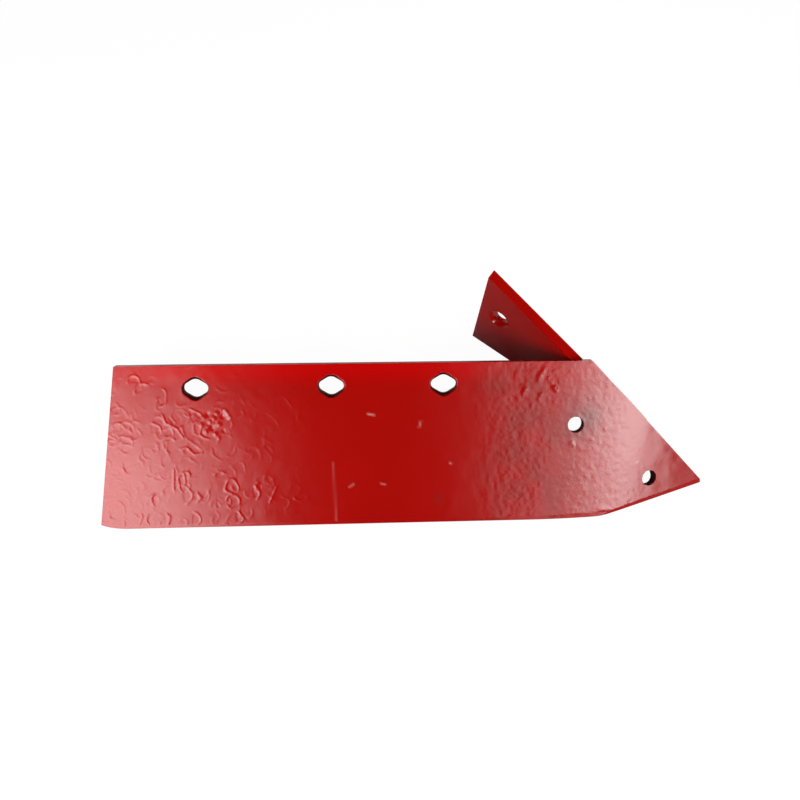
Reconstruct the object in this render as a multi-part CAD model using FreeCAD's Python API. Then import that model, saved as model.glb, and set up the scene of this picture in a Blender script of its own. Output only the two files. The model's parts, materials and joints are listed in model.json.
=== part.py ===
import FreeCAD, Part
import os
from math import asin, cos, degrees, radians, sin, tan

# A right-hand plough share with a fixed landside: a bar share whose nose is bent back round a
# leaning line, and a three-cornered landside plate set under its shin and welded on both sides.
#
# Everything is drawn in the share frame and then laid on its feet.
# Share frame: the origin is the shin corner, where the bolting edge meets the shin, on the
#   front face. x runs along the bolting edge towards the point, y rises from the cutting edge
#   to the bolting edge, and z leaves the front face. The share lies at y < 0.
# Part frame: +Z up, standing on Z = 0 on the wing corner, the point and the landside's heel.
#   X follows the bolting edge, and the origin is under the middle of the whole part.

Vector = FreeCAD.Vector

# Share bar
share_thickness = 12.0
bolting_edge_length = 454.0   # wing end to shin corner
share_width = 152.5           # bolting edge to cutting edge, at the knee
wing_flare = 5.4              # how much wider the bar is at the wing than at the knee
wing_overhang = 18.0          # how far the cutting edge runs past the bolting edge at the wing
wing_corner_run = 12.6        # length of the eased corner at the end of the cutting edge
wing_corner_lift = 4.4        # how far that corner rises from the line of the cutting edge
wing_corner_radius = 70.0
knee_reach = 10.7             # how far past the shin corner the cutting edge turns to the nose
knee_radius = 60.0
shin_angle = 47.5             # between the bolting edge and the shin, seen square to the share
shin_length = 167.4
point_flat = 3.7              # blunt end of the point
point_flat_rake = 10.8        # its lean from the y axis
corner_radius = 1.2           # eased sheared corners of the outline

# Bend of the nose
bend_setback = 26.6           # from the shin corner back to where the bend starts
bend_lean = 12.3              # of the bend line, from square to the bolting edge
bend_radius = 286.0           # of the front face
bend_angle = 20.0

# Ground edge: a long bevel behind it and a narrow one in front
edge_land = 5.0               # blunt thickness left along the cutting edge
back_bevel_width = 22.0
front_bevel_width = 4.0
front_bevel_depth = 0.6

# Punched diamond holes of the bolting edge, for countersunk bolts with a square neck. Diagonals
# are those of the sharp rhombus, before its corners are eased.
throat_long = 34.4
throat_short = 20.6
throat_end_radius = 5.5       # of the corners at the ends of the long diagonal
throat_side_radius = 8.0      # and of the other two
rim_long = 37.0
rim_short = 27.2
rim_radius = 8.0
rim_depth = 4.0
# Each hole: distance from the shin corner along the bolting edge, and setback from that edge
diamond_places = ((141.3, 20.8), (248.1, 21.4), (377.1, 22.3))

# Drilled holes beside the shin: distance down the shin from its corner, and inset from it
drilled_diameter = 15.5
drilled_places = ((35.0, 52.8), (127.0, 36.0))

# Landside plate, square to its own faces all round
landside_thickness = 10.0
landside_plan_angle = 40.2    # its line on the flat of the share, from the bolting edge
landside_fold = 62.2          # between the back of the share and the landside's inner face
landside_outset = 2.0         # of its outer face from the front of the shin corner
landside_foot_length = 267.0  # of its bottom edge, if it ran on to the point
landside_foot_angle = 13.3    # of its bottom edge from the flat of the share
landside_rear_height = 121.5
landside_rear_lean = 2.8      # of its rear edge, from square to the bottom edge
landside_nose_setback = 70.0  # length left off before the point
landside_hole_forward = 18.4  # hole centre from the heel corner, along the bottom edge
landside_hole_up = 62.0       # and square to it

# Weld beads along both sides of the joint
inner_bead_radius = 8.0
outer_bead_radius = 3.0
bead_inset = 14.0             # from the ends of the joint to the ends of the beads

reach = 1500.0                # past every edge of the part, for planes and prisms that cut it


def plan(x, y):
    return Vector(x, y, 0)


def rotated(direction, angle):
    """A plan direction turned anticlockwise by an angle in degrees."""
    turn = radians(angle)
    return plan(direction.x * cos(turn) - direction.y * sin(turn),
                direction.x * sin(turn) + direction.y * cos(turn))


def unit(vector):
    return vector / vector.Length


# Directions in the share frame
along_bar = Vector(1, 0, 0)
up_bar = Vector(0, 1, 0)
out_of_face = Vector(0, 0, 1)
down_shin = rotated(along_bar, -shin_angle)
into_share = rotated(down_shin, -90)
across_bend = rotated(along_bar, -bend_lean)
along_bend = rotated(up_bar, -bend_lean)


def bend_run(x, y):
    """Distance past the start of the bend, square to the bend line."""
    return plan(x, y).dot(across_bend) + bend_setback


def bend_turn(run):
    """Slope of the front face in degrees, that far past the start of the bend."""
    if run <= 0:
        return 0.0
    if run >= bend_radius * sin(radians(bend_angle)):
        return bend_angle
    return degrees(asin(run / bend_radius))


def front_point(x, y):
    """The point of the front face over a place in plan."""
    run = bend_run(x, y)
    turn = radians(bend_turn(run))
    on_arc = bend_radius * sin(turn)
    drop = bend_radius * (1 - cos(turn))
    if turn > 0:
        drop += (run - on_arc) * tan(turn)
    return Vector(x, y, -drop)


def front_normal(x, y):
    turn = radians(bend_turn(bend_run(x, y)))
    return across_bend * sin(turn) + out_of_face * cos(turn)


def bent_profile(offset):
    """Flat, arc and nose of the bent bar's side profile, at an offset from its front face."""
    centre = across_bend * -bend_setback - out_of_face * bend_radius
    radius = bend_radius + offset
    turn = radians(bend_angle)

    def on_arc(angle):
        return centre + across_bend * (radius * sin(angle)) + out_of_face * (radius * cos(angle))

    far_flat = on_arc(0) - across_bend * reach
    far_nose = on_arc(turn) + (across_bend * cos(turn) - out_of_face * sin(turn)) * reach
    edges = [
        Part.makeLine(far_flat, on_arc(0)),
        Part.Arc(on_arc(0), on_arc(turn / 2), on_arc(turn)).toShape(),
        Part.makeLine(on_arc(turn), far_nose),
    ]
    return edges, far_flat, far_nose


def bent_slab(upper, lower):
    """All that lies between two offsets of the bent front face, far past the outline."""
    upper_edges, upper_flat, upper_nose = bent_profile(upper)
    lower_edges, lower_flat, lower_nose = bent_profile(lower)
    closing = [Part.makeLine(upper_nose, lower_nose), Part.makeLine(lower_flat, upper_flat)]
    face = Part.Face(Part.Wire(Part.sortEdges(upper_edges + lower_edges + closing)[0]))
    face.translate(along_bend * -reach)
    return face.extrude(along_bend * (2 * reach))


def bent_sheet(offset):
    """The bent surface alone, at an offset from the front face."""
    wire = Part.Wire(bent_profile(offset)[0])
    wire.translate(along_bend * -reach)
    return wire.extrude(along_bend * (2 * reach))


def rounded_wire(corners):
    """Closed wire through (point, radius) corners, each eased by a tangent arc."""
    edges = []
    starts = []
    ends = []
    count = len(corners)
    for index, (point, radius) in enumerate(corners):
        back = unit(corners[index - 1][0] - point)
        ahead = unit(corners[(index + 1) % count][0] - point)
        half = back.getAngle(ahead) / 2
        start = point + back * (radius / tan(half))
        end = point + ahead * (radius / tan(half))
        middle = point + unit(back + ahead) * (radius / sin(half) - radius)
        starts.append(start)
        ends.append(end)
        edges.append(Part.Arc(start, middle, end).toShape())
    for index in range(count):
        edges.append(Part.makeLine(ends[index - 1], starts[index]))
    return Part.Wire(Part.sortEdges(edges)[0])


# Corners of the share's outline, in plan
shin_corner = plan(0, 0)
wing_top = plan(-bolting_edge_length, 0)
point_top = down_shin * shin_length
point_bottom = point_top + rotated(up_bar * -point_flat, point_flat_rake)
knee = plan(knee_reach, -share_width)
wing_bottom = plan(-bolting_edge_length - wing_overhang, -share_width - wing_flare + wing_corner_lift)
wing_turn = plan(wing_bottom.x + wing_corner_run, wing_bottom.y - wing_corner_lift)


def share_outline():
    corners = ((shin_corner, corner_radius), (wing_top, corner_radius), (wing_bottom, corner_radius),
               (wing_turn, wing_corner_radius), (knee, knee_radius),
               (point_bottom, corner_radius), (point_top, corner_radius))
    face = Part.Face(rounded_wire(corners))
    face.translate(out_of_face * -reach)
    return face.extrude(out_of_face * (2 * reach))


def curve_below_face(start, end, drop):
    """Edges at a fixed height under the front face, over the plan line from start to end."""
    span = end - start
    run_start = bend_run(start.x, start.y)
    run_gain = bend_run(end.x, end.y) - run_start
    stops = [0.0, 1.0]
    for run in (0.0, bend_radius * sin(radians(bend_angle))):
        share_of_span = (run - run_start) / run_gain
        if 0 < share_of_span < 1:
            stops.append(share_of_span)
    stops.sort()

    def at(place):
        spot = start + span * place
        return front_point(spot.x, spot.y) - out_of_face * drop

    edges = []
    for near, far in zip(stops, stops[1:]):
        middle = at((near + far) / 2)
        chord = at(far) - at(near)
        if (middle - at(near)).cross(unit(chord)).Length < 1e-6:
            edges.append(Part.makeLine(at(near), at(far)))
        else:
            edges.append(Part.Arc(at(near), middle, at(far)).toShape())
    return edges, at(0.0), at(1.0)


def bevel_cutter(start, end, edge_drop, inner_drop, width, far_side):
    """Solid that planes a bevel along start-end, from one drop under the front face to another.

    The far side is -1 to remove what is below the bevel and +1 to remove what is above it.
    """
    along = unit(end - start)
    inward = rotated(along, 90)
    overrun = along * (2 * width)
    edges, first, last = curve_below_face(start - overrun, end + overrun, edge_drop)
    far = out_of_face * (far_side * reach)
    edges.append(Part.makeLine(last, last + far))
    edges.append(Part.makeLine(last + far, first + far))
    edges.append(Part.makeLine(first + far, first))
    middle = (start + end) / 2
    inner = middle + inward * width
    rise = front_point(inner.x, inner.y).z - front_point(middle.x, middle.y).z
    step = inward * width + out_of_face * (rise - inner_drop + edge_drop)
    face = Part.Face(Part.Wire(Part.sortEdges(edges)[0]))
    face.translate(-step)
    return face.extrude(step * 3)


def diamond_punch(frame, thickness):
    """Countersunk diamond hole through a plate whose face is the frame's xy plane."""
    def wire(long, short, end_radius, side_radius, depth):
        rhombus = rounded_wire((
            (Vector(long / 2, 0, -depth), end_radius), (Vector(0, short / 2, -depth), side_radius),
            (Vector(-long / 2, 0, -depth), end_radius), (Vector(0, -short / 2, -depth), side_radius)))
        rhombus.Placement = frame
        return rhombus

    rim = wire(rim_long, rim_short, rim_radius, rim_radius, 0)
    throat = wire(throat_long, throat_short, throat_end_radius, throat_side_radius, rim_depth)
    flare = Part.makeLoft([rim, throat], True, True)
    shank = Part.Face(throat).extrude(frame.Rotation.multVec(Vector(0, 0, -2 * thickness)))
    return flare.fuse(shank)


def diamond_frame(along, setback):
    return FreeCAD.Placement(plan(-along, -setback), FreeCAD.Rotation())


def drilled_place(down, inset):
    """Plan position of a drilled hole."""
    return down_shin * down + into_share * inset


def drill(down, inset):
    """Round hole square to the bent face."""
    spot = drilled_place(down, inset)
    centre = front_point(spot.x, spot.y)
    normal = front_normal(spot.x, spot.y)
    return Part.makeCylinder(drilled_diameter / 2, 4 * share_thickness,
                             centre + normal * (2 * share_thickness), -normal)


def share_blade():
    blade = bent_slab(0, -share_thickness).common(share_outline())
    for start, end in ((wing_turn, knee), (knee, point_bottom)):
        blade = blade.cut(bevel_cutter(start, end, edge_land, share_thickness, back_bevel_width, -1))
        blade = blade.cut(bevel_cutter(start, end, front_bevel_depth, 0, front_bevel_width, 1))
    for along, setback in diamond_places:
        blade = blade.cut(diamond_punch(diamond_frame(along, setback), share_thickness))
    for down, inset in drilled_places:
        blade = blade.cut(drill(down, inset))
    return blade.Solids[0]


# Landside directions: outward from its outer face, along its line on the share's flat, and up it
landside_out = (rotated(up_bar, -landside_plan_angle) * sin(radians(landside_fold))
                - out_of_face * cos(radians(landside_fold)))
landside_ahead = rotated(along_bar, -landside_plan_angle)
landside_up = landside_ahead.cross(landside_out)


def in_landside(ahead, up):
    """A point of the landside's outer face."""
    return landside_out * landside_outset + landside_ahead * ahead + landside_up * up


def seen_on_landside(point):
    return point.dot(landside_ahead), point.dot(landside_up)


# Corners of the landside's outline on its outer face
foot_ahead = (landside_ahead * cos(radians(landside_foot_angle))
              + landside_up * sin(radians(landside_foot_angle)))
foot_up = foot_ahead.cross(landside_out)
rear_up = foot_up * cos(radians(landside_rear_lean)) - foot_ahead * sin(radians(landside_rear_lean))
toe = in_landside(*seen_on_landside(front_point(point_top.x, point_top.y)))
heel = toe - foot_ahead * landside_foot_length
rear_top = heel + rear_up * landside_rear_height
nose_foot = toe - foot_ahead * landside_nose_setback


def in_front_of_back():
    """The share without its outline, and all the space in front of it."""
    return bent_slab(share_width, -share_thickness)


def trimming_share():
    """What the landside's top edge is fitted to, up to the bolting edge."""
    under_bolting_edge = Part.makeBox(2 * reach, reach, 2 * reach, Vector(-reach, -reach, -reach))
    return in_front_of_back().common(under_bolting_edge)


def trimming_top():
    """The space above the straight top edge, behind the share, which runs from the rear to the toe."""
    line = unit(toe - rear_top) * reach
    high = landside_up * reach
    face = Part.Face(Part.makePolygon([rear_top - line, toe + line, toe + line + high,
                                       rear_top - line + high, rear_top - line]))
    face.translate(landside_out * share_width)
    behind_bolting_edge = Part.makeBox(2 * reach, reach, 2 * reach, Vector(-reach, 0, -reach))
    return face.extrude(landside_out * (-2 * share_width)).common(behind_bolting_edge)


def landside_hole_frame():
    """Frame on the inner face, its x axis up the plate, as the square neck of the bolt stands."""
    centre = heel + foot_ahead * landside_hole_forward + foot_up * landside_hole_up
    inner = centre - landside_out * landside_thickness
    return FreeCAD.Placement(inner, FreeCAD.Rotation(foot_up, -foot_ahead, -landside_out, "ZXY"))


def landside_plate():
    spare = foot_up * share_width
    outline = Part.makePolygon([heel, nose_foot, nose_foot + spare, rear_top + spare, rear_top, heel])
    plate = Part.Face(outline).extrude(landside_out * -landside_thickness)
    plate = plate.cut(trimming_share()).cut(trimming_top())
    plate = plate.cut(diamond_punch(landside_hole_frame(), landside_thickness))
    return plate.Solids[0]


def weld_bead(face_offset, radius, landside):
    """Bead in the corner between the share's back and one face of the landside."""
    joint_start = in_landside(bead_inset, 0)
    joint_length = (nose_foot - joint_start).dot(landside_ahead) - bead_inset
    corner = joint_start + landside_out * face_offset + landside_up * share_width
    sight = Part.Face(Part.makePolygon([
        corner, corner + landside_ahead * joint_length,
        corner + landside_ahead * joint_length - landside_up * (2 * share_width),
        corner - landside_up * (2 * share_width), corner]))
    path = Part.Wire(Part.sortEdges(sight.section(bent_sheet(-share_thickness)).Edges)[0])
    first = path.OrderedEdges[0]
    start = first.FirstParameter
    section = Part.makeCircle(radius, first.valueAt(start), first.tangentAt(start))
    bead = path.makePipeShell([Part.Wire(section)], True, True)
    return bead.cut(in_front_of_back()).cut(landside).Solids[0]


def resting_placement():
    """Lays the share on its wing corner, its point and the heel of its landside."""
    wing_foot = front_point(wing_turn.x, wing_turn.y) - out_of_face * edge_land
    point_foot = front_point(point_bottom.x, point_bottom.y) - out_of_face * edge_land
    up = unit((point_foot - wing_foot).cross(heel - wing_foot))
    ahead = unit(along_bar - up * along_bar.dot(up))
    return FreeCAD.Placement(Vector(), FreeCAD.Rotation(ahead, up.cross(ahead), up, "ZXY")).inverse()


def standing_placement(pieces):
    """From the share frame to the part frame."""
    laid = resting_placement()
    whole = Part.Compound(pieces)
    whole.Placement = laid
    box = whole.optimalBoundingBox(False, False)
    ground_middle = Vector(box.Center.x, box.Center.y, box.ZMin)
    return FreeCAD.Placement(-ground_middle, FreeCAD.Rotation()).multiply(laid)


def build():
    landside = landside_plate()
    pieces = {
        "share_blade": share_blade(),
        "landside_plate": landside,
        "inner_weld_bead": weld_bead(-landside_thickness, inner_bead_radius, landside),
        "outer_weld_bead": weld_bead(0, outer_bead_radius, landside),
    }
    standing = standing_placement(list(pieces.values()))
    for piece in pieces.values():
        piece.Placement = standing.multiply(piece.Placement)
    return pieces


def main():
    os.makedirs("parts", exist_ok=True)
    for name, piece in build().items():
        piece.exportStep(os.path.join("parts", name + ".step"))


main()
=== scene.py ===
import json
import math
import bmesh
import bpy
import numpy as np
from mathutils import Matrix, Vector


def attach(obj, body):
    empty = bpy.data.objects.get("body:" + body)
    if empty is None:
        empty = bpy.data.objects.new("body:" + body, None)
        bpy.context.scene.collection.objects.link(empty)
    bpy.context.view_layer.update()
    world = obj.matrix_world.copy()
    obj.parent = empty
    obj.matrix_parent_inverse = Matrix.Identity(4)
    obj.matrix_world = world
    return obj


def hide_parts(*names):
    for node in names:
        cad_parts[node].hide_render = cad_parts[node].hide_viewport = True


# A red plough share with its welded landside, on a white floor. Two large panels light it and
# show as the sheen at its ends, and three lamps that the paint doesn't mirror fill in between.
# Lengths are in metres unless a name says MM. Places on the share are given in its own frame:
# x along the bolting edge from the shin corner, positive towards the point; y up from that edge,
# so that the share's own y is negative; z out of the front face.

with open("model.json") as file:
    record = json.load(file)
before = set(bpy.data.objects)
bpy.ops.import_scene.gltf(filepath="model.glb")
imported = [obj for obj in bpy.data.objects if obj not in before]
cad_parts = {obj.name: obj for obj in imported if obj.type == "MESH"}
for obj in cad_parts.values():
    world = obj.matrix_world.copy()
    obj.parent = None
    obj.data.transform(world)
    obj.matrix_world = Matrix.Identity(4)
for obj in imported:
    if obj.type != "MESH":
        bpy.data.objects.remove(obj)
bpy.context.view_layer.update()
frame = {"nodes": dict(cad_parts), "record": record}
mounts = {mount["name"]: mount for mount in frame["record"]["mounts"]}
seed = np.random.default_rng(41)

MM = 0.001

# The share, as its drawing has it
THICKNESS = 12 * MM
NEAR_HOLE_BACK = 141.3 * MM              # from the shin corner, along the bolting edge
NEAR_HOLE_SETBACK = 20.8 * MM            # from the bolting edge
BEND_SETBACK = 26.6 * MM
BEND_LEAN = math.radians(12.3)
BEND_RADIUS = 286 * MM
BEND_ANGLE = math.radians(20)

# The share's axes in the part's frame: the bolting edge runs square to the part's Y
OUT = -Vector(mounts["frog_seat"]["axis"])
ALONG = Vector((0, 1, 0)).cross(OUT).normalized()
UP = OUT.cross(ALONG)
SHIN_CORNER = (Vector(mounts["near_plough_bolt_hole"]["pos_m"]) + OUT * THICKNESS / 2
               + ALONG * NEAR_HOLE_BACK + UP * NEAR_HOLE_SETBACK)
AXES = np.array([ALONG, UP, OUT])

# Camera, in the share's frame
CAMERA_PLACE = Vector((-180.6, 136.5, 1223)) * MM
CAMERA_AIM = Vector((-182.75, -35.35, 0)) * MM
CAMERA_ROLL = math.radians(0.7)
LENS = 58.5

PANEL_HEIGHT = 1000                      # of both panels over the share's face, in millimetres
PANEL_SPOTS = 32                         # places along each side of a panel where its glow is set

# Mesh of the share: stretches of the bar, and the step between the cuts in each
WING_END = -275 * MM                     # where the creased wing stretch ends
NOSE_START = -125 * MM                   # where the pebbled nose stretch starts
WING_STEPS = (0.85 * MM, 0.9 * MM)       # along the bar and up it
MIDDLE_STEP = 1.9 * MM
NOSE_STEP = 1.25 * MM
FRONT_UP_STEP = 1.3 * MM                 # up the bar, past the wing stretch
BACK_UP_STEP = 7 * MM
SHARP_ANGLE = math.radians(30)
FACE_BAND = 0.16 * MM                    # vertices this close to the drawn face belong to it


def to_share(points):
    return (np.asarray(points) - np.array(SHIN_CORNER)) @ AXES.T


def from_share(points):
    return np.asarray(points) @ AXES + np.array(SHIN_CORNER)


def share_point(x, y, z):
    return SHIN_CORNER + ALONG * x + UP * y + OUT * z


def share_direction(x, y, z):
    return ALONG * x + UP * y + OUT * z


# ---------------------------------------------------------------- small maths on arrays

def ramp(low, high, value):
    """0 at low, 1 at high, and straight between; low may be the greater."""
    return np.clip((value - low) / (high - low), 0, 1)


def smooth(low, high, value):
    """As ramp, and smooth between."""
    t = ramp(low, high, value)
    return t * t * (3 - 2 * t)


def spot(points, x, y, radius):
    """A soft round spot on the face, 1 in its middle; the place and radius are in millimetres."""
    away = np.hypot(points[:, 0] - x * MM, points[:, 1] - y * MM)
    return np.exp(-(away / (radius * MM)) ** 2)


def stroke(points, start, end, width):
    """A soft straight stroke on the face from start to end, in millimetres."""
    ax, ay = start[0] * MM, start[1] * MM
    dx, dy = end[0] * MM - ax, end[1] * MM - ay
    along = np.clip(((points[:, 0] - ax) * dx + (points[:, 1] - ay) * dy) / (dx * dx + dy * dy), 0, 1)
    away = np.hypot(points[:, 0] - ax - along * dx, points[:, 1] - ay - along * dy)
    return np.exp(-(away / (width * MM)) ** 2)


class Noise:
    """Smooth random waves over the face, from a seeded grid of values."""

    def __init__(self, size):
        self.size = size
        self.values = seed.standard_normal((96, 96))

    def __call__(self, points):
        gx = points[:, 0] / self.size + 40
        gy = points[:, 1] / self.size + 40
        ix, iy = np.floor(gx).astype(int), np.floor(gy).astype(int)
        fx, fy = gx - ix, gy - iy
        fx, fy = fx * fx * (3 - 2 * fx), fy * fy * (3 - 2 * fy)
        v = self.values
        ix, iy = ix % 95, iy % 95
        lower = v[ix, iy] * (1 - fx) + v[ix + 1, iy] * fx
        upper = v[ix, iy + 1] * (1 - fx) + v[ix + 1, iy + 1] * fx
        return lower * (1 - fy) + upper * fy


# ---------------------------------------------------------------- bent surface

def surface_offset(points):
    """How far share-frame points stand out of the bent front face, and its normals there."""
    run = points[:, 0] * math.cos(BEND_LEAN) - points[:, 1] * math.sin(BEND_LEAN) + BEND_SETBACK
    above_centre = points[:, 2] + BEND_RADIUS
    turn = np.clip(np.arctan2(run, above_centre), 0, BEND_ANGLE)
    offset = run * np.sin(turn) + above_centre * np.cos(turn) - BEND_RADIUS
    normals = np.stack([np.sin(turn) * math.cos(BEND_LEAN), -np.sin(turn) * math.sin(BEND_LEAN),
                        np.cos(turn)], 1)
    return offset, normals


# ---------------------------------------------------------------- mesh helpers

def copy_of(node, name):
    """A new object, and a welded copy of a CAD node's mesh to work on."""
    work = bmesh.new()
    work.from_mesh(frame["nodes"][node].data)
    bmesh.ops.remove_doubles(work, verts=work.verts, dist=1e-6)
    bmesh.ops.dissolve_limit(work, angle_limit=math.radians(0.1), verts=work.verts, edges=work.edges)
    thing = bpy.data.objects.new(name, bpy.data.meshes.new(name))
    bpy.context.scene.collection.objects.link(thing)
    return thing, work


def slice_faces(work, faces, direction, stations):
    """Cuts faces by planes square to a direction, at distances from the shin corner along it."""
    if not stations or not faces:
        return faces
    middle = len(stations) // 2
    station = stations[middle]
    geometry = set(faces)
    for face in faces:
        geometry.update(face.edges)
        geometry.update(face.verts)
    cut = bmesh.ops.bisect_plane(work, geom=list(geometry), dist=1e-7,
                                 plane_co=SHIN_CORNER + direction * station, plane_no=direction)
    near = []
    far = []
    for piece in cut["geom"]:
        if isinstance(piece, bmesh.types.BMFace):
            side = (piece.calc_center_median() - SHIN_CORNER).dot(direction)
            (near if side < station else far).append(piece)
    return (slice_faces(work, near, direction, stations[:middle])
            + slice_faces(work, far, direction, stations[middle + 1:]))


def evenly(low, high, step):
    """Stations a step apart that fill a stretch and keep off its ends."""
    count = int(round((high - low) / step))
    return [low + (high - low) * (index + 0.5) / count for index in range(count)]


def vertex_places(mesh):
    flat = np.empty(len(mesh.vertices) * 3, np.float32)
    mesh.vertices.foreach_get("co", flat)
    return flat.reshape(-1, 3).astype(float)


def set_vertex_places(mesh, places):
    mesh.vertices.foreach_set("co", places.astype(np.float32).ravel())
    mesh.update()


def paint_attribute(mesh, name, values):
    layer = mesh.attributes.new(name, "FLOAT", "POINT")
    layer.data.foreach_set("value", np.clip(values, 0, 1).astype(np.float32))


def to_object(work, thing, sharp_angle):
    bmesh.ops.recalc_face_normals(work, faces=work.faces)
    work.to_mesh(thing.data)
    work.free()
    thing.data.shade_smooth()
    thing.data.set_sharp_from_angle(angle=sharp_angle)


# ---------------------------------------------------------------- relief of the front face

# Creases of the dipped paint at the wing end that stand out by themselves: the middle and radius
# of each lobe, and the stretch of its rim that shows, in degrees anticlockwise from the right
LOBES = (
    (-345, -117, 6.2, -40, 230), (-344, -132, 6.5, -150, 170), (-392, -126, 8.5, -75, 80),
    (-381, -128, 5.5, -70, 70), (-415, -130, 8, 120, 230), (-384, -149, 7.5, -80, 80),
    (-411, -149, 6, -60, 75), (-423, -149, 5.5, 110, 240), (-438, -148, 6, -70, 50),
    (-342, -147, 6.5, -80, 80), (-325, -124, 7, -60, 80), (-316, -118, 6, 120, 240),
    (-279, -126, 7.5, 200, 340), (-435, -15, 6, -20, 190), (-427, -24, 7, 60, 200),
    (-413, -30, 9, -80, 60), (-383, -50, 8, -50, 90), (-400, -108, 10, -50, 30),
    (-389, -108, 5.5, 20, 180), (-357, -108, 6, 30, 150), (-380, -78, 7, 200, 330),
    (-388, -84, 6, 30, 150), (-365, -62, 8, 150, 270), (-420, -64, 10, 0, 90),
)
CREASES = (
    ((-409, -47), (-406, -55)), ((-406, -55), (-396, -60)), ((-396, -60), (-390, -69)),
    ((-302, -118), (-309, -133)), ((-400, -100), (-401, -120)), ((-352, -121), (-345, -124)),
    ((-450, -150), (-449, -158)),
)


# Smaller lobes at random, from the wing end along the bar, in millimetres
CREASE_COUNT = 260
CREASED_FROM = -470
CREASED_LENGTH = 230
CREASE_HEIGHT = 0.15                     # of the lobes and creases listed above


def ridge(away, width):
    """Section of a crease: a rounded crest, with the skin inside it a little lower."""
    return np.exp(-(away / width) ** 2) - 0.35 * smooth(0, 2.4 * width, -away)


def lobe(points, x, y, radius, start, end, strength, wobble):
    """A stretch of a lobe's rim, in millimetres of height."""
    dx, dy = points[:, 0] / MM - x, points[:, 1] / MM - y
    reach = np.hypot(dx, dy)
    close = reach < radius + 4
    height = np.zeros(len(points))
    if not close.any():
        return height
    angle = np.degrees(np.arctan2(dy[close], dx[close]))
    middle, half = (start + end) / 2, (end - start) / 2
    turn = (angle - middle + 180) % 360 - 180
    shown = 1 - smooth(half - 12, half + 12, np.abs(turn))
    bent = radius * (1 + 0.16 * wobble[close])
    height[close] = strength * shown * ridge(reach[close] - bent, 0.95)
    return height


def scale_creases(points):
    """Lobed creases of the thick paint, dense at the wing end and fading along the bar."""
    wobble = Noise(6 * MM)(points)
    height = np.zeros(len(points))
    for x, y, radius, start, end in LOBES:
        height += lobe(points, x, y, radius, start, end, CREASE_HEIGHT, wobble)
    for start, end in CREASES:
        height += CREASE_HEIGHT * stroke(points, start, end, 0.9)
    for _ in range(CREASE_COUNT):
        x = CREASED_FROM + CREASED_LENGTH * seed.random() ** 1.3
        y = -158 + 154 * seed.random() ** 1.15
        radius = seed.uniform(4, 10)
        start = seed.uniform(0, 360)
        span = seed.uniform(50, 190)
        fade = 1 - 0.75 * (x - CREASED_FROM) / CREASED_LENGTH
        strength = seed.uniform(0.03, 0.11) * fade
        height += lobe(points, x, y, radius, start, start + span, strength, wobble)
    return height


# Spatter and lumps by the shin: place, radius and height, in millimetres
SPATTER = (
    (-47, -10, 2.2, 0.5), (-49.5, -14, 2.4, 0.55), (-51, -18, 1.8, 0.35), (-45, -7, 1.5, 0.3),
    (-39, -20, 2.0, 0.35), (-36, -25, 2.2, 0.5), (-34, -28, 1.8, 0.45), (-42, -16, 1.4, 0.25),
    (-64, -27, 2.4, 0.55), (-66, -31, 1.6, 0.4), (-49, -32, 1.9, 0.4), (-51, -36, 1.5, 0.3),
    (-20, -79, 2.2, 0.5), (-17.5, -81, 1.5, 0.4), (0, -76, 1.6, 0.4), (2, -70, 1.3, 0.2),
    (13, -66, 1.5, 0.25), (-8, -57, 1.3, 0.2), (-58, -43, 1.5, 0.2), (-75, -55, 1.6, 0.2),
)
# Chipped patch near the wing hole
CHIPS = (
    (-366, -47, 2.2, -0.25), (-360, -51, 2.4, 0.3), (-357, -46, 1.8, 0.25), (-352, -49, 2.0, -0.3),
    (-349, -45, 1.8, 0.35), (-346, -50, 1.6, 0.45), (-355, -57, 2.0, 0.25), (-362, -60, 2.2, -0.25),
    (-368, -64, 2.0, 0.25), (-359, -66, 1.8, 0.3), (-351, -63, 1.6, -0.2), (-364, -54, 1.6, 0.3),
    (-370, -50, 1.6, 0.2), (-356, -70, 1.4, 0.2), (-372, -57, 2.0, 0.2),
)


def relief(points):
    """Height of the painted skin over the drawing's front face, in metres."""
    x, y = points[:, 0] / MM, points[:, 1] / MM
    height = scale_creases(points)
    for spot_x, spot_y, radius, rise in SPATTER + CHIPS:
        height += rise * spot(points, spot_x, spot_y, radius)
    height += 0.4 * stroke(points, (-350, -43), (-345, -51), 0.9)
    grain_zone = smooth(-125, -70, x) * (1 - smooth(25, 60, x))
    height += 0.05 * grain_zone * Noise(2.6 * MM)(points)
    height += 0.035 * grain_zone * Noise(5 * MM)(points)
    height += 0.02 * Noise(9 * MM)(points) + 0.05 * Noise(34 * MM)(points)
    groove = np.exp(-((y + 142) / 3.5) ** 2)
    height -= 0.06 * groove * (1 - smooth(-300, -200, x))
    return height * MM


# Holes through the share: middle in millimetres, and how far round it their walls reach
HOLES = (
    (-141.3, -20.8, 16), (-248.1, -21.4, 16), (-377.1, -22.3, 16),
    (-15.3, -61.5, 10.5), (59, -118, 10.5),
)
# Pale scuffs of the paint: start, end, width and strength, in millimetres
SCUFFS = (
    ((-213, -48.5), (-208, -49.5), 0.8, 0.8), ((-232, -119), (-228, -116), 0.7, 0.5),
    ((-202, -116), (-198, -117), 0.7, 0.5), ((-163, -56), (-165, -62), 0.8, 0.45),
    ((-247, -95), (-246, -152), 0.7, 0.25), ((-350, -43), (-345, -51), 0.8, 0.7),
)
# Pale flecks and dull patches: place, radius and strength, in millimetres
FLECKS = ((-135, -97, 1, 0.7), (46, -101, 1.0, 0.9))
DULL_PATCHES = ((-13, -62, 15, 0.55), (0, -52, 12, 0.5), (-147, -132, 5, 0.3))


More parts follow.
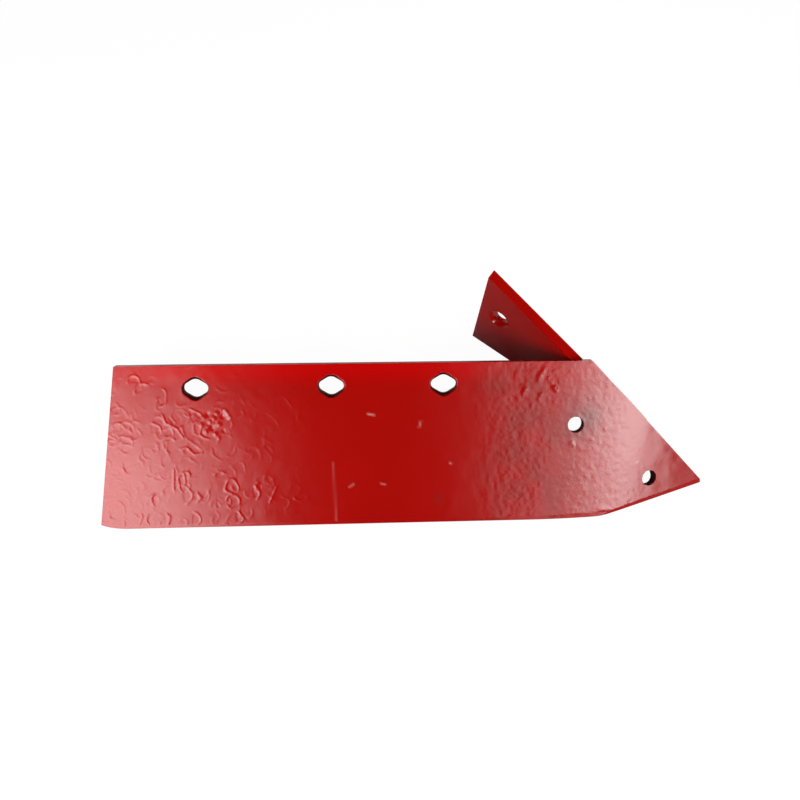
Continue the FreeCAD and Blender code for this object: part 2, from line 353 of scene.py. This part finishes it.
def hole_depth(places, offset):
    """0 outside the holes, and 1 from a little way down their walls."""
    depth = np.zeros(len(places))
    for x, y, reach in HOLES:
        near = np.hypot(places[:, 0] / MM - x, places[:, 1] / MM - y) < reach
        depth = np.maximum(depth, np.where(near, smooth(0.15, 1.0, -offset / MM), 0))
    return np.where(offset < -(THICKNESS - 0.1 * MM), 0, depth)


# ---------------------------------------------------------------- pieces

def slice_share(work):
    """Cuts the share's mesh finely enough for its relief, most finely at the wing end."""
    places = to_share([vertex.co for vertex in work.verts])
    low, high = places.min(0), places.max(0)
    columns = (evenly(low[0], WING_END, WING_STEPS[0]) + evenly(WING_END, NOSE_START, MIDDLE_STEP)
               + evenly(NOSE_START, high[0], NOSE_STEP))
    every = slice_faces(work, list(work.faces), ALONG, columns)
    work.normal_update()
    back = [face for face in every if face.normal.dot(OUT) < -0.7]
    rest = [face for face in every if face.normal.dot(OUT) >= -0.7]
    slice_faces(work, back, UP, evenly(low[1], high[1], BACK_UP_STEP))

    def along(face):
        return (face.calc_center_median() - SHIN_CORNER).dot(ALONG)

    wing = [face for face in rest if along(face) < WING_END]
    others = [face for face in rest if along(face) >= WING_END]
    slice_faces(work, wing, UP, evenly(low[1], high[1], WING_STEPS[1]))
    slice_faces(work, others, UP, evenly(low[1], high[1], FRONT_UP_STEP))


def paint_share(mesh, places, offset, front):
    """Attributes that the paint reads, from the vertices' places on the plain share."""
    x, y = places[:, 0] / MM, places[:, 1] / MM
    grain = smooth(-125, -60, x) * (1 - smooth(18, 50, x))
    paint_attribute(mesh, "grain", np.where(front, grain, 0.2))

    cloudy = smooth(0, 1, 0.5 + 0.35 * Noise(18 * MM)(places))
    dull = 0.35 * smooth(-130, -80, x) * (1 - smooth(-60, 20, x)) * cloudy
    for patch_x, patch_y, radius, strength in DULL_PATCHES:
        dull += strength * spot(places, patch_x, patch_y, radius)
    paint_attribute(mesh, "dull", dull)

    chalk = np.zeros(len(places))
    for start, end, width, strength in SCUFFS:
        chalk += strength * stroke(places, start, end, width)
    for fleck_x, fleck_y, radius, strength in FLECKS:
        chalk += strength * spot(places, fleck_x, fleck_y, radius)
    paint_attribute(mesh, "chalk", chalk)

    # Painted light: a brighter band of paint along the bolting edge stands for the light that falls
    # there, fading towards the point and the wing end
    edge_light = 1 - smooth(3, 26, -y)
    edge_light *= 1 - 0.6 * smooth(-110, -20, x)
    edge_light *= 1 - 0.5 * smooth(-400, -450, x)
    paint_attribute(mesh, "painted_edge_light", np.where(front, edge_light, 0))
    # Painted shade: the paint darkens and loses its gloss down the walls of the holes, where little
    # light reaches
    paint_attribute(mesh, "hole_shade", hole_depth(places, offset))


def share_blade():
    thing, work = copy_of("share_blade", "share")
    slice_share(work)
    to_object(work, thing, SHARP_ANGLE)

    mesh = thing.data
    places = to_share(vertex_places(mesh))
    offset, normals = surface_offset(places)
    front = np.abs(offset) < FACE_BAND
    height = np.where(front, relief(places) - offset, 0)
    set_vertex_places(mesh, from_share(places + normals * height[:, None]))

    paint_share(mesh, places, offset, front)
    mesh.materials.append(red_paint("share_paint"))
    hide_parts("share_blade")
    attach(thing, "root")


def plain_finish(node, slot):
    """Paints a CAD node as it is."""
    thing = frame["nodes"][node]
    thing.data.materials.clear()
    thing.data.materials.append(red_paint(slot))


# ---------------------------------------------------------------- materials

class Nodes:
    """Short hand for building a material's node tree."""

    def __init__(self, material):
        material.use_nodes = True
        self.tree = material.node_tree
        self.tree.nodes.clear()

    def add(self, kind, settings=None, **inputs):
        node = self.tree.nodes.new(kind)
        for name, value in (settings or {}).items():
            setattr(node, name, value)
        for name, value in inputs.items():
            key = int(name[1:]) if name[0] == "_" else name.replace("_", " ")
            socket = node.inputs[key]
            if isinstance(value, bpy.types.NodeSocket):
                self.tree.links.new(value, socket)
            else:
                socket.default_value = value
        return node

    def maths(self, operation, a, b):
        return self.add("ShaderNodeMath", {"operation": operation}, _0=a, _1=b).outputs[0]

    def blend(self, factor, a, b):
        return self.add("ShaderNodeMix", {"data_type": "RGBA"}, _0=factor, _6=a, _7=b).outputs[2]

    def scaled(self, value, low, high):
        return self.add("ShaderNodeMapRange", None, Value=value, To_Min=low, To_Max=high).outputs[0]


def red_paint(name):
    """Glossy dipped paint; the share's attributes roughen, dull or scuff it, and add painted light and
    shade.
    """
    material = bpy.data.materials.new(name)
    n = Nodes(material)

    def attribute(key):
        return n.add("ShaderNodeAttribute", {"attribute_name": key}).outputs["Fac"]

    def noise(scale, detail, roughness=0.5):
        return n.add("ShaderNodeTexNoise", None, Vector=place, Scale=scale, Detail=detail,
                     Roughness=roughness).outputs["Fac"]

    def bump(strength, distance, height, **under):
        return n.add("ShaderNodeBump", None, Strength=strength, Distance=distance, Height=height,
                     **under).outputs[0]

    place = n.add("ShaderNodeTexCoord").outputs["Object"]
    fine = noise(420, 4, 0.6)
    hole_shade = attribute("hole_shade")
    red = n.blend(noise(14, 3), (0.46, 0.0024, 0.0007, 1), (0.53, 0.0036, 0.0012, 1))
    # Painted light: brighter red along the bolting edge
    red = n.blend(attribute("painted_edge_light"), red, (0.66, 0.001, 0.0008, 1))
    red = n.blend(n.maths("MULTIPLY", attribute("dull"), 0.8), red, (0.12, 0.03, 0.02, 1))
    red = n.blend(attribute("chalk"), red, (0.8, 0.4, 0.36, 1))
    # Painted shade: dark brown down the hole walls
    red = n.blend(hole_shade, red, (0.05, 0.008, 0.006, 1))

    soft = bump(0.12, 0.0004, noise(130, 2))
    pitted = bump(n.maths("MULTIPLY", attribute("grain"), 0.3), 0.0003, noise(620, 2), Normal=soft)
    speckled = bump(0.08, 0.0002, fine, Normal=pitted)
    # Painted shade: less gloss down the hole walls, so that they mirror little
    gloss = n.scaled(hole_shade, 1.0, 0.1)
    rough = n.scaled(fine, 0.13, 0.19)
    shader = n.add("ShaderNodeBsdfPrincipled", None, Base_Color=red, Roughness=rough, IOR=1.5,
                   Normal=speckled, Specular_IOR_Level=n.maths("MULTIPLY", gloss, 0.5),
                   Coat_Weight=gloss, Coat_Roughness=0.15, Coat_IOR=1.5, Coat_Normal=speckled)
    n.add("ShaderNodeOutputMaterial", None, Surface=shader.outputs[0])
    return material


def floor_material():
    """White to the camera with the object's faint shadow, and plain white to all other light."""
    material = bpy.data.materials.new("white_floor")
    n = Nodes(material)
    path = n.add("ShaderNodeLightPath")
    seen = n.maths("MAXIMUM", path.outputs["Is Camera Ray"], path.outputs["Is Transmission Ray"])
    glow = n.add("ShaderNodeEmission", None, Strength=0.96)
    shade = n.add("ShaderNodeBsdfDiffuse", None, Color=(0.09, 0.09, 0.09, 1))
    plain = n.add("ShaderNodeBsdfDiffuse", None, Color=(0.5, 0.5, 0.5, 1))
    background = n.add("ShaderNodeAddShader", None, _0=glow.outputs[0], _1=shade.outputs[0])
    surface = n.add("ShaderNodeMixShader", None, _0=seen, _1=plain.outputs[0], _2=background.outputs[0])
    n.add("ShaderNodeOutputMaterial", None, Surface=surface.outputs[0])
    return material


# ---------------------------------------------------------------- studio

def floor():
    side = 6
    mesh = bpy.data.meshes.new("floor")
    corners = [(-side, -side, 0), (side, -side, 0), (side, side, 0), (-side, side, 0)]
    mesh.from_pydata(corners, [], [(0, 1, 2, 3)])
    thing = bpy.data.objects.new("floor", mesh)
    thing.location.z = -0.0005
    bpy.context.scene.collection.objects.link(thing)
    mesh.materials.append(floor_material())


def white_world():
    """White behind everything; to the object a dark ceiling over a pale horizon."""
    world = bpy.data.worlds.new("studio")
    bpy.context.scene.world = world
    n = Nodes(world)
    seen = n.add("ShaderNodeLightPath").outputs["Is Camera Ray"]
    ray = n.add("ShaderNodeTexCoord").outputs["Generated"]
    height = n.add("ShaderNodeSeparateXYZ", None, Vector=ray).outputs["Z"]
    glow = n.add("ShaderNodeMapRange", None, Value=height, From_Min=0.0, From_Max=0.5,
                 To_Min=0.35, To_Max=0.0).outputs[0]
    strength = n.add("ShaderNodeMix", {"data_type": "FLOAT"}, _0=seen, _2=glow, _3=1.0).outputs[0]
    sky = n.add("ShaderNodeBackground", None, Color=(1, 1, 1, 1), Strength=strength)
    n.add("ShaderNodeOutputWorld", None, Surface=sky.outputs[0])


def panel(name, corner, size, radiance, glow):
    """A soft light panel parallel to the share, PANEL_HEIGHT over it, whose glow varies over it.

    The corner and size are in millimetres in the share's frame; glow takes arrays of x and y.
    """
    count = PANEL_SPOTS
    across, up = np.meshgrid(np.linspace(0, 1, count), np.linspace(0, 1, count))
    x = (corner[0] + size[0] * across).ravel()
    y = (corner[1] + size[1] * up).ravel()
    places = from_share(np.stack([x, y, np.full(x.shape, PANEL_HEIGHT)], 1) * MM)
    faces = [(k, k + 1, k + 1 + count, k + count) for row in range(count - 1)
             for k in range(row * count, row * count + count - 1)]
    mesh = bpy.data.meshes.new(name)
    mesh.from_pydata(places.tolist(), [], faces)
    paint_attribute(mesh, "glow", glow(x, y))
    material = bpy.data.materials.new(name)
    n = Nodes(material)
    spread = n.add("ShaderNodeAttribute", {"attribute_name": "glow"}).outputs["Fac"]
    strength = n.maths("MULTIPLY", spread, radiance)
    light = n.add("ShaderNodeEmission", None, Strength=strength)
    n.add("ShaderNodeOutputMaterial", None, Surface=light.outputs[0])
    mesh.materials.append(material)
    thing = bpy.data.objects.new(name, mesh)
    thing.visible_camera = False
    bpy.context.scene.collection.objects.link(thing)


def left_glow(x, y):
    return smooth(-380, -670, x) * ramp(-75, -300, y + 0.25 * (x + 654))


def right_glow(x, y):
    rise = 0.2 * smooth(-80, 100, x) + 0.8 * ramp(150, 660, x + 0.75 * (y + 156))
    return rise * (1 - 0.25 * ramp(-450, -650, y))


def lamp(name, place, aim, width, radiance):
    """A square lamp that the paint does not mirror, in the share's frame and in millimetres."""
    light = bpy.data.lights.new(name, "AREA")
    light.size = width
    light.energy = radiance * math.pi * width * width
    thing = bpy.data.objects.new(name, light)
    place = share_point(*[value * MM for value in place])
    away = (place - share_point(*[value * MM for value in aim])).normalized()
    side = away.cross(UP).normalized()
    turned = Matrix((side, away.cross(side), away)).transposed().to_4x4()
    thing.matrix_world = Matrix.Translation(place) @ turned
    thing.visible_camera = False
    thing.visible_glossy = False
    bpy.context.scene.collection.objects.link(thing)


def camera():
    data = bpy.data.cameras.new("camera")
    data.lens = LENS
    data.sensor_width = 36
    view = (share_point(*CAMERA_PLACE) - share_point(*CAMERA_AIM)).normalized()
    right = share_direction(math.cos(CAMERA_ROLL), -math.sin(CAMERA_ROLL), 0)
    right = (right - view * right.dot(view)).normalized()
    thing = bpy.data.objects.new("camera", data)
    turned = Matrix((right, view.cross(right), view)).transposed().to_4x4()
    thing.matrix_world = Matrix.Translation(share_point(*CAMERA_PLACE)) @ turned
    bpy.context.scene.collection.objects.link(thing)
    bpy.context.scene.camera = thing


share_blade()
plain_finish("landside_plate", "landside_paint")
plain_finish("inner_weld_bead", "weld_paint")
plain_finish("outer_weld_bead", "weld_paint_outer")
floor()
white_world()
panel("left_panel", (-1150, -1000), (800, 950), 3.6, left_glow)
panel("right_panel", (-150, -850), (1500, 800), 5.2, right_glow)
lamp("left_lamp", (-620, -60, 350), (-620, -60, 0), 0.3, 4.0)
lamp("right_lamp", (130, -60, 450), (130, -60, 0), 0.3, 1.3)
lamp("rear_lamp", (40, 330, 300), (-55, 40, 0), 0.3, 2.0)
camera()
bpy.context.scene.view_settings.view_transform = "Standard"
